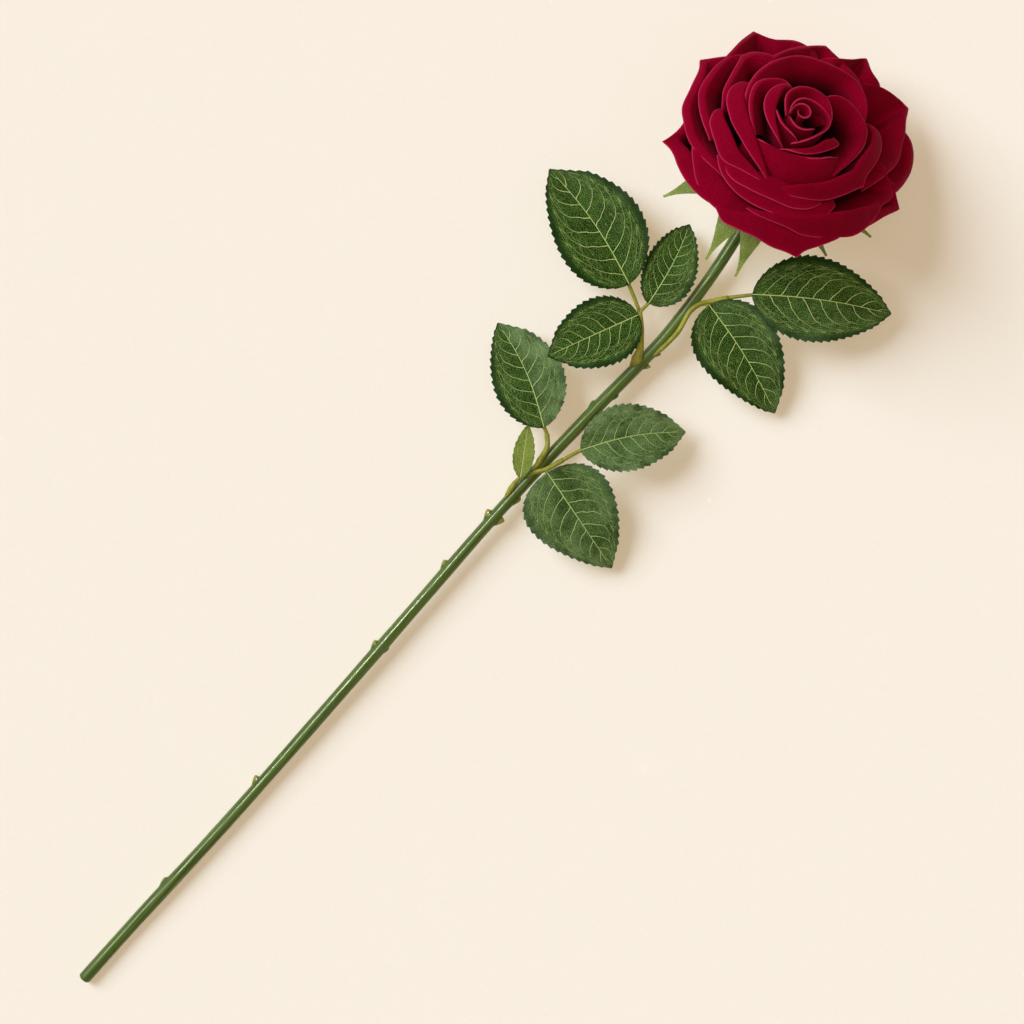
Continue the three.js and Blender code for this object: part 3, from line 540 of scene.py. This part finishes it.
LEAF_THICKNESS = 0.5
LEAF_FOLD = 0.12  # rise of a blade's side per millimetre from its midrib
TOOTH, YOUNG_TOOTH = 1, 0.4
stations = np.linspace(0, 1, 221)
lanes = np.linspace(-1, 1, 31)
for name, (base, tip, halves, wides, fulls, _, teeth, velvet_nap_and_painted_leaf_sheen) in LEAVES.items():
    young = name == "leaf_young"
    middle, left_hand, crown = midrib(name, stations)
    length = np.linalg.norm(np.array(tip) - np.array(base))
    flat_side = np.zeros((len(stations), len(lanes)))
    for hand, half, wide, full in zip((1, -1), halves, wides, fulls):
        outline = half * np.sin(math.pi * stations**wide) ** full
        outline = np.minimum(outline, 1.1 * (1 - stations) * length)
        edge = np.concatenate([[0], np.cumsum(np.hypot(np.diff(outline), np.diff(stations * length)))])
        saw = (edge / edge[-1] * teeth) % 1
        tooth = 0.9 * (np.where(saw < 0.82, saw / 0.82, (1 - saw) / 0.18) - 0.5)
        tooth *= np.clip(np.minimum(edge, edge[-1] - edge) / 4, 0, 1) * (YOUNG_TOOTH if young else TOOTH)
        mine = lanes * hand >= 0
        lane = np.abs(lanes[mine])[None]
        reach = lane * np.maximum(outline, 0.25)[:, None] + lane**8 * tooth[:, None]
        flat_side[:, mine] = hand * reach
    ripple = 0.35 * np.sin(stations * 19 + 2)[:, None] * np.abs(lanes)[None] ** 3 * np.sign(lanes + 0.01)[None]
    lift = LEAF_FOLD * np.abs(flat_side) + ripple
    grid = middle[:, None] + flat_side[..., None] * left_hand + lift[..., None] * crown
    # how much painted sheen each side of the blade gets, a little less at the midrib
    painted_sheen_share = np.interp(lanes, [-1, -0.1, 0.1, 1], [velvet_nap_and_painted_leaf_sheen[1], 0.6 * velvet_nap_and_painted_leaf_sheen[1], 0.6 * velvet_nap_and_painted_leaf_sheen[0], velvet_nap_and_painted_leaf_sheen[0]])
    flat_along = np.broadcast_to(stations[:, None] * length / 100, flat_side.shape)
    shell(name + "_blade", grid, LEAF_THICKNESS, [satins["young" if young else "leaf"]],
          [name], {
              "UVMap": np.stack(np.broadcast_arrays(stations[:, None], (lanes[None] + 1) / 2), 2),
              "Flat": np.stack([flat_along, flat_side / 100 + 0.5], 2),
              "PaintedSheen": np.stack(np.broadcast_arrays(painted_sheen_share[None], 0 * stations[:, None]), 2),
          })


# ---- Calyx cup ----
# The moulded green receptacle that the stem plugs into from below and the bloom's peg from above. It stands
# on the tilted axis of the head.
TILT, LEAN = math.radians(22.5), math.radians(7.8)
SEAT = np.array([180.3, 12.7, 26.0])
hinge = np.array([-math.sin(LEAN), math.cos(LEAN), 0.0])


def from_head(points):
    """Points of the tilted head, measured from its seat, as points of the whole rose."""
    turned = points * math.cos(TILT) + np.cross(hinge, points) * math.sin(TILT)
    return turned + (points @ hinge)[..., None] * hinge * (1 - math.cos(TILT)) + SEAT


def lathed(name, profile, sides, material, replaced, flutes=0.0):
    """A turned piece on the head's axis, from a profile of radius and height that starts and ends inside it."""
    line = smooth_line(profile, 4)
    angle = np.linspace(0, 2 * math.pi, sides, endpoint=False)
    radius = line[:, 0][:, None] * (1 + flutes * np.cos(5 * angle)[None])
    height = np.broadcast_to(line[:, 1:2], radius.shape)
    points = np.stack([radius * np.cos(angle), radius * np.sin(angle), height], 2)
    add_piece(name, from_head(points.reshape(-1, 3)), tube_faces(len(line), sides), [material], replaced)


cup_plastic, tree, shader = new_material("calyx_plastic", Roughness=0.5, Specular_IOR_Level=0.45)
patch = noise(tree, 220.0, 3.0, 0.6)
fine = noise(tree, 2000.0, 2.0)
dress(tree, shader, mix_colour(tree, spread(tree, patch, 0.35, 0.65), srgb(84, 108, 40), srgb(112, 136, 60)),
      spread(tree, fine, 0.3, 0.7, 0.42, 0.6), fine)
lathed("calyx_moulding", [(2.9, -12), (3.5, -12.1), (4.2, -11.4), (4.9, -9.6), (5.5, -7.4), (6, -5), (6.3, -2.6),
                          (6.4, -1), (6, -0.7), (3, -0.65)], 60, cup_plastic, ["calyx_cup"], 0.025)


# ---- Sepals ----
# Two five-pointed stars of light green printed fabric between the calyx cup and the bloom. The lobes hang
# outwards and down, and two of them touch the table.
sepal_print, tree, shader = new_material("sepal_fabric", Roughness=0.7, Specular_IOR_Level=0.3, Sheen_Weight=0.2)
cells = node(tree, "TexVoronoi", Scale=1500.0, Vector=node(tree, "TexCoord").outputs["Object"]).outputs["Distance"]
weave = noise(tree, 2200.0, 2.0, 0.6)
cloud = noise(tree, 140.0, 3.0, 0.6)
green = mix_colour(tree, spread(tree, cloud, 0.3, 0.7), srgb(120, 140, 52), srgb(158, 172, 84))
green = mix_colour(tree, spread(tree, weave, 0.45, 0.7, 0.0, 0.6), green, srgb(176, 184, 110))
green = mix_colour(tree, spread(tree, cells, 0.25, 0.6, 0.0, 0.5), green, srgb(92, 112, 44))
dress(tree, shader, green, relief=weave, strength=0.4, rise=0.0003)

# Each star's level, and the direction, reach and height of each tip, and how far the tip sways sideways
SEPALS = {
    "sepal_star_upper": (1.4, [(147.5, 46, -10, 0), (207, 46.5, -17, -2), (278, 52.5, -10, 2), (350, 42, -8, 0),
                               (76, 44, -11, 1)]),
    "sepal_star_lower": (0.0, [(185, 45.5, -16.5, 1.5), (255, 43.5, -13.5, 2), (320, 45, -15.2, 0),
                               (45, 46, -12.5, 0), (108, 40, -15, -1)]),
}
SEPAL_THICKNESS = 0.5
SEPAL_ROOT, SEPAL_BEND = 2.6, 5  # where a lobe starts, and where it begins to hang
stations = np.linspace(0, 1, 71)
lanes = np.linspace(-1, 1, 15)
taper = np.cos(math.pi * np.clip((stations - 0.5) / 0.5, 0, 1))
half = 0.5 + 5.6 * (0.5 + 0.5 * taper) * np.clip(0.75 + stations, 0, 1)
sepal_uv = np.stack(np.broadcast_arrays(stations[:, None], (lanes[None] + 1) / 2), 2)
for name, (level, lobes) in SEPALS.items():
    for number, (turn, reach, drop, sway) in enumerate(lobes):
        frill = 0.12 * np.sin(stations * 70 + number) * (1 - stations)
        out = SEPAL_ROOT + (reach - SEPAL_ROOT) * stations
        height = level + (drop - level) * np.clip((out - SEPAL_BEND) / (reach - SEPAL_BEND), 0, 1) ** 1.8
        sideways = lanes[None] * (half + frill)[:, None] + (sway * stations**3)[:, None]
        cupping = 0.035 * (lanes[None] * half[:, None]) ** 2 * (1 - 0.4 * stations)[:, None]
        angle = math.radians(turn)
        ahead = np.array([math.cos(angle), math.sin(angle), 0])
        across = np.array([-math.sin(angle), math.cos(angle), 0])
        points = out[:, None, None] * ahead + sideways[..., None] * across
        points[..., 2] += height[:, None] - cupping
        shell(f"{name}_{number}", from_head(points), SEPAL_THICKNESS, [sepal_print],
              [name] if number == 0 else [], {"UVMap": sepal_uv})


# ---- Bloom ----
# Crimson velvet petals glued layer by layer round a foam bud. Each is a thin shell that rises from the bud to
# a rim on one low dome, and the near ones roll outwards at the rim. The cut edges show paler.
velvet, tree, shader = new_material("petal_velvet", Roughness=0.9, Specular_IOR_Level=0.05, Sheen_Weight=0.08,
                                    Sheen_Roughness=0.45, Sheen_Tint=(0.85, 0.1, 0.24, 1))
velvet_nap_and_painted_leaf_sheen = noise(tree, 2400.0, 2.0, 0.7)
worn = noise(tree, 110.0, 4.0, 0.6)
fluff = noise(tree, 700.0, 3.0, 0.7)
painted_shade_depth, from_edge = node(tree, "SeparateXYZ", _0=node(tree, "UVMap", uv_map="Rim").outputs[0]).outputs[:2]
ragged = math_node(tree, "MULTIPLY_ADD", fluff, 0.05, from_edge)
red = mix_colour(tree, spread(tree, velvet_nap_and_painted_leaf_sheen, 0.3, 0.7), srgb(106, 0, 24), srgb(142, 0, 36))
red = mix_colour(tree, spread(tree, worn, 0.35, 0.7, 0.0, 0.5), red, srgb(108, 0, 24))
# painted shade: the inner sides darken towards near black the deeper they lie in the bloom
red = mix_colour(tree, spread(tree, painted_shade_depth, 0.06, 0.48, 0.0, 0.97), red, srgb(14, 0, 3))
red = mix_colour(tree, spread(tree, ragged, 0.03, 0.3, 0.35, 0.0), red, srgb(150, 4, 48))
red = mix_colour(tree, spread(tree, ragged, 0.055, 0.085, 0.75, 0.0), red, srgb(178, 44, 78))
red = mix_colour(tree, spread(tree, fluff, 0.68, 0.78, 0.0, 0.35), red, srgb(172, 60, 84))
dress(tree, shader, red, relief=velvet_nap_and_painted_leaf_sheen, strength=0.35, rise=0.0003)
cut_edge, tree, shader = new_material("petal_cut_edge", Roughness=0.9, Specular_IOR_Level=0.1)
frayed = spread(tree, noise(tree, 900.0, 2.0, 0.7), 0.35, 0.7)
dress(tree, shader, mix_colour(tree, frayed, srgb(150, 20, 54), srgb(190, 66, 96)))

# The way a petal stands: how much of the dome's rise its lip keeps, how steep its wall is below the lip, in
# degrees, and how far the wall bellies out
CURL, BUD, FOLD, SHELF, DISH = (1.0, 80, 0), (1.0, 96, 0), (1.0, 82, 0), (0.35, 65, 0), (1.0, 30, 0)
# Each petal's rim points (direction, reach and, where it isn't on the dome, height over it), the width of its
# rolled lip along the rim, the way it stands, and the number of the rim point at a sharp tip
PETALS = [
    ([(60, 2.2), (150, 2.6), (240, 2.8), (330, 3.2), (420, 4.2), (480, 5)], [0.5], CURL, None),
    ([(200, 12.4), (208, 12.2), (240, 11), (262, 11), (285, 12), (305, 11.5), (325, 9.5), (345, 8), (368, 7.2),
     (395, 6.8), (425, 6.2), (455, 5.6), (480, 5.2)], [0.7], BUD, None),
    ([(130, 6.5), (105, 8), (75, 10.5), (45, 12.4), (15, 14), (-10, 14.4), (-35, 13.4), (-60, 13)], [1.2],
     (1, 50, 0), None),
    ([(135, 6), (165, 6.5), (200, 7.3), (235, 7.6), (265, 8)], [0.6], BUD, None),
    ([(110, 11.4), (125, 11), (150, 10.5), (183, 10.3), (208, 11.8), (214, 12.4)], [0.8], BUD, None),
    ([(49, 14.2), (62, 15.6), (84, 16.6), (106, 16.1), (138, 14.9), (163, 14.6), (190, 15.5)],
     [0.5, 3, 5, 4.5, 3.2, 2, 0.6], FOLD, None),
    ([(50, 14), (60, 17.5), (70, 20), (80, 22.3), (88, 23.2), (100, 22.6), (112, 21.6), (125, 20.8), (138, 20.3),
     (152, 19.6)], [0.6, 1.2, 1.6, 1.2, 0.6], (1, 42, 0), None),
    ([(188, 16.4), (215, 16.3), (245, 17), (262, 18), (275, 19.2), (284, 18.6)], [0.6, 1.4, 2.6, 4.5, 2.5],
     BUD, None),
    ([(150, 22.3), (160, 20.5), (180, 18.9), (200, 18.1), (220, 18), (240, 19), (257, 20.6), (266, 21.4, -3),
     (280, 22.4, -8), (294, 23, -14)], [0.5, 0.7, 0.7, 0.6, 0.5], (1, 145, 8), None),
    ([(353, 16.6), (342, 22.8), (326, 28.2), (313, 30.4), (298, 29.4), (279, 27.4), (262, 26.4, -0.5),
     (245, 26, -2)], [0.6, 1.2, 1.4, 1.2, 0.6], (1, 38, 0), None),
    ([(138, 22), (111, 23.6), (86, 25.6), (63, 28.2), (46, 30.6), (30, 33.6), (16, 34.8), (2, 37.8), (-9, 40.2),
     (-22, 37.6), (-40, 31.7)], [0.8, 1.4, 1.8, 1.4, 0.8], DISH, None),
    ([(86, 23.7), (90, 27.1), (99, 29.5), (110, 29.8), (128, 28), (152, 25.9), (175, 26.5), (198, 29.3)],
     [0.5, 5, 6.8, 6.2, 4.6, 2.6, 0.6], FOLD, None),
    ([(117, 29.8), (120, 32.6), (129, 34.7), (135, 34.6), (145, 34.3), (157, 34.2), (171, 31.6), (186, 30.4),
     (198, 30)], [0.8, 4.5, 6, 6.2, 4, 2, 0.6], FOLD, None),
    ([(152, 33.4), (159, 35), (171, 36), (184, 34.8), (201, 34.2), (217, 35), (229, 34.8), (240, 33)],
     [4, 7, 8, 8, 6], SHELF, None),
    ([(198, 29.8), (212, 30.9), (225, 31.8), (238, 33.1), (255, 34.5), (266, 36), (272, 37.4), (279, 36.2),
     (296, 38.1), (307, 39.1), (315, 38), (321, 33)], [0.5, 4, 5.8, 6.4, 6.9, 6.8, 6.2, 4.6, 1], FOLD, 6),
    ([(351, 42.5), (346, 48.5, 1.5), (342.8, 53.8, 3), (338.3, 59.5, 4.5), (333.6, 65, 6), (327.6, 59.4, 4),
     (321.5, 56.5, 2), (315, 53.3), (304.5, 49.4), (294, 44.9), (285.5, 41.6, -1.5), (276, 38, -4)],
     [1.5, 2, 2, 1.5], DISH, 4),
    ([(327, 53), (325, 55), (323, 57.5, 1), (319.5, 59.8, 1.5), (314.5, 59.8, 1), (308, 58.4), (299.5, 55.4),
     (289.5, 51.3), (282, 48)], [2, 2.5, 2], DISH, None),
    ([(298, 41, -1), (294, 43.4), (291.4, 44.8), (290, 48), (287.4, 50.9), (282.5, 49.6), (278, 48, -0.5),
     (268, 46, -2), (255, 44, -3), (244, 42, -4)], [1.5, 1.8, 2, 1.8], DISH, 4),
    ([(190, 38.6), (196, 39.6), (204, 40.2), (215, 41.4), (224, 43.6), (236, 45.5), (246, 47), (254, 48.5),
     (263.2, 48.8), (270.5, 48.5), (278.5, 47.6), (283, 45, -2)], [0.6, 2.2, 4.4, 6.8, 7.9, 8.5, 7.2, 3.2, 0.6],
     FOLD, None),
    ([(152, 34), (159, 36), (167, 37.4), (179, 38.2), (191, 38.2), (204, 38), (220, 38.4), (232, 38.7), (240, 38.1),
     (249, 35.5)], [4, 6, 6, 6, 4], SHELF, None),
    ([(170, 43), (174, 44.4), (178, 46), (183, 47.5), (190, 47.2), (201, 46.9), (210, 48), (218, 48.8),
     (223.5, 50.2), (227, 48.4), (236, 47.4), (246, 46.8), (256, 45)], [0.6, 3.6, 7, 7.6, 7.8, 8.2, 5.5, 3.5, 3],
     (0.6, 75, 0), 8),
    ([(136, 40), (142, 41.8), (150, 43.2), (160, 45.1), (168, 46), (178, 45.6, -0.5), (186, 44.6, -2.5),
     (196, 42, -4.5), (206, 40, -6)], [4, 9, 10, 9, 6], SHELF, None),
    ([(120, 42), (125, 43.6), (129, 45.8), (131.6, 48.8), (132.6, 51), (137, 49), (141.5, 48), (148, 47.9),
     (156, 47.7), (163, 47.1), (170, 46), (178, 44)], [3, 5, 6, 8, 8, 5], (0.3, 60, 0), 4),
    ([(68, 40), (74, 42), (81, 45.3), (84.8, 48.2), (92, 45.1), (105, 44.1), (116.5, 44.8), (125, 43.7), (139, 42),
     (152, 39.4), (166, 36.6)], [1.5, 2.4, 2.8, 2.8, 2.8, 2], (0.9, 36, 0), 3),
    ([(62, 38), (68, 39.8), (75, 41.5), (82, 41.6), (92, 41.2), (106, 41), (114, 39.6), (122, 38), (130, 36.5),
     (140, 34.6)], [1.5, 2.4, 2.6, 2.4, 1.6], (1, 38, 0), None),
    ([(120, 30.4), (113, 31.2), (105, 32.2), (95, 33), (85, 34.4), (76, 36.2), (70, 38), (63, 37.7), (57, 35.5),
     (48, 32)], [1.2, 2.2, 2.4, 1.6], (1, 38, 0), 6),
    ([(80, 41.4), (74, 42.4), (66, 44.8), (53.4, 50.8), (49, 54), (47, 49.8), (42.8, 46), (31.5, 46), (25.5, 43.9),
     (18, 41)], [2, 2.5, 2.5, 2], DISH, 4),
    ([(56, 31.6), (52, 33.1), (41, 36.4), (26.5, 42.6, 0.5), (15.5, 50.2, 1.5), (10, 47.2, 0.5), (0.5, 44),
     (-9, 43.2), (-16, 41)], [1.5, 2.2, 2.5, 2], DISH, 4),
    ([(16, 41), (9, 43, 2), (1.8, 50, 4), (-2.2, 60, 6), (-8, 54, 4.5), (-15, 54, 3), (-19, 53, -2), (-23, 51, -7)],
     [1.5, 2.2, 2.2, 1.5], DISH, 3),
    ([(296, 45, -3), (291.5, 49.8, -1), (288, 52), (285.4, 55.8), (276.5, 51.8), (263, 48.8, -1), (252, 46, -3)],
     [1.5, 2.5, 2.5, 2], (0.8, 42, 0), 3),
]
PETAL_THICKNESS = 0.45
DOME_RISE, DOME_REACH, DOME_POWER = 48, 66.3, 1.72
CURVE_POINTS = 14  # of a rim's curve, from one given point to the next
RIM_STEP, RIM_DIP, LEAST_LIP = 0.8, 3.5, 0.45
WALL_ROWS, LIP_ROWS = 25, 13
RADIAN = 57.3  # in degrees


def dome(reach):
    """Height of the dome of rims over the seat."""
    return DOME_RISE * (1 - (reach / DOME_REACH) ** DOME_POWER)


def swept(share, corners):
    """Points at the shares along a cubic from its four corners."""
    weights = ((1 - share) ** 3, 3 * (1 - share) ** 2 * share, 3 * (1 - share) * share**2, share**3)
    return sum(weight * corner for weight, corner in zip(weights, corners))


chance = np.random.default_rng(7)
for number, (rim, lips, (kept, lean, belly), tip) in enumerate(PETALS):
    # the rim at even steps, with a point on a sharp tip
    rim = [(turn, reach, (lift or [0])[0]) for turn, reach, *lift in rim]
    cut = len(rim) - 1 if tip is None else tip
    line = smooth_line(rim[:cut + 1], CURVE_POINTS)
    if cut < len(rim) - 1:
        line = np.vstack([line[:-1], smooth_line(rim[cut:], CURVE_POINTS)])
    steps = np.hypot(np.diff(line[:, 0]) * line[:-1, 1] / RADIAN, np.diff(line[:, 1]))
    walked = np.concatenate([[0], np.cumsum(steps)])
    at = np.linspace(0, walked[-1], max(30, int(walked[-1] / RIM_STEP)) + 1)
    if tip is not None:
        at[np.abs(at - walked[CURVE_POINTS * cut]).argmin()] = walked[CURVE_POINTS * cut]
    turn, reach, lift = (np.interp(at, walked, line[:, k]) for k in range(3))
    share = at / walked[-1]
    rim_height = dome(reach) + lift - RIM_DIP * np.abs(2 * share - 1) ** 8

    # the crest, where the wall ends and the lip starts, on a rim without the sharp tip
    lip = np.maximum(np.interp(share, np.linspace(0, 1, len(lips)), lips), LEAST_LIP)
    lip = np.convolve(np.pad(lip, 4, "edge"), np.ones(9) / 9, "valid")
    soften = np.hanning(17)[1:-1] / np.hanning(17)[1:-1].sum()
    even_reach, even_height = (np.convolve(np.pad(k, 7, "reflect", reflect_type="odd"), soften, "valid")
                               for k in (reach, rim_height))
    crest = np.maximum(even_reach - lip, 0.7 * even_reach)
    crest_height = even_height + kept * (dome(crest) - dome(even_reach)) + 0.12 * lip

    # the wall from the bud to the crest, and the lip from there to the rim
    wall = np.linspace(0, 1, WALL_ROWS + 1)[:-1, None]
    slope = math.radians(lean)
    root, floor = 0.08 * crest + 1.2, 6 - 3.6 * np.clip((crest.mean() - 12) / 25, 0, 1)
    drop = 0.4 * np.hypot(crest - root, crest_height - floor)
    stand = np.clip((lean - 30) / 45, 0, 1)
    belly = belly * np.sin(np.clip(np.minimum((share - 0.1) / 0.3, (1 - share) / 0.45), 0, 1) * math.pi / 2) ** 2
    out_wall = swept(wall, (root, root + (crest - root) * (0.12 + 0.42 * stand) + belly,
                            crest - drop * math.cos(slope) + belly, crest))
    up_wall = swept(wall, (floor, floor + (crest_height - floor) * (0.35 - 0.28 * stand),
                           crest_height - drop * math.sin(slope), crest_height))
    over = np.linspace(0, 1, LIP_ROWS)[:, None]
    out_lip = swept(over, (crest, crest + 0.3 * lip, reach - 0.22 * lip, reach))
    up_lip = swept(over, (crest_height, crest_height + 0.08 * lip, rim_height + 0.2 * lip, rim_height))
    out, height = np.vstack([out_wall, out_lip]), np.vstack([up_wall, up_lip])

    # soft waves, and a spread that narrows towards the bud
    phases = chance.uniform(0, 6.28, 4)
    climb = np.linspace(0, 1, len(out))[:, None]
    wave = 0.28 * np.sin(5 * share + 3 * climb + phases[0]) + 0.16 * np.sin(12 * share - 5 * climb + phases[1])
    size = np.clip(crest / 25, 0.1, 1) * climb
    out = out + wave * size
    height = height + size * 0.3 * np.sin(7 * share + 4 * climb + phases[2])
    middle_turn = (turn[0] + turn[-1]) / 2
    taper = np.vstack([0.62 + 0.38 * wall, np.ones_like(over)])
    angle = np.radians(middle_turn + (turn - middle_turn) * taper)
    points = np.stack([out * np.cos(angle), out * np.sin(angle), height], 2)

    # Rim holds how deep in the bloom the inner side lies, for its painted shade, and how far each point is from the
    # edge
    from_rim = np.vstack([np.full(out_wall.shape, 10.0), np.hypot(out_lip - reach, up_lip - rim_height)])
    shade_depth = np.clip(dome(np.clip(out, 0, 62)) - height, 0, 30) * np.clip((60 - crest.mean()) / 22, 0.4, 1)
    rim_map = np.stack([np.stack([inner * shade_depth / 30, from_rim / 10], 2) for inner in (0, 1)])
    if turn[-1] < turn[0]:
        points, rim_map = points[:, ::-1], rim_map[:, :, ::-1]
    shell(f"petal_{number:02d}", from_head(points), PETAL_THICKNESS, [velvet, cut_edge], [],
          {"Rim": rim_map})

foam, tree, shader = new_material("bud_foam", Roughness=0.95, Specular_IOR_Level=0.1)
pores = noise(tree, 1600.0, 3.0, 0.6)
dress(tree, shader, mix_colour(tree, pores, srgb(60, 0, 14), srgb(92, 2, 24)), relief=pores, strength=0.5,
      rise=0.0003)
lathed("bloom_core", [(1.9, -3.4), (2, 0), (2.1, 1.9), (6.2, 2.2), (9, 7), (10.3, 14), (9.6, 22), (6.6, 30),
                      (3.2, 36), (1.2, 39)], 40, foam, ["bloom"])
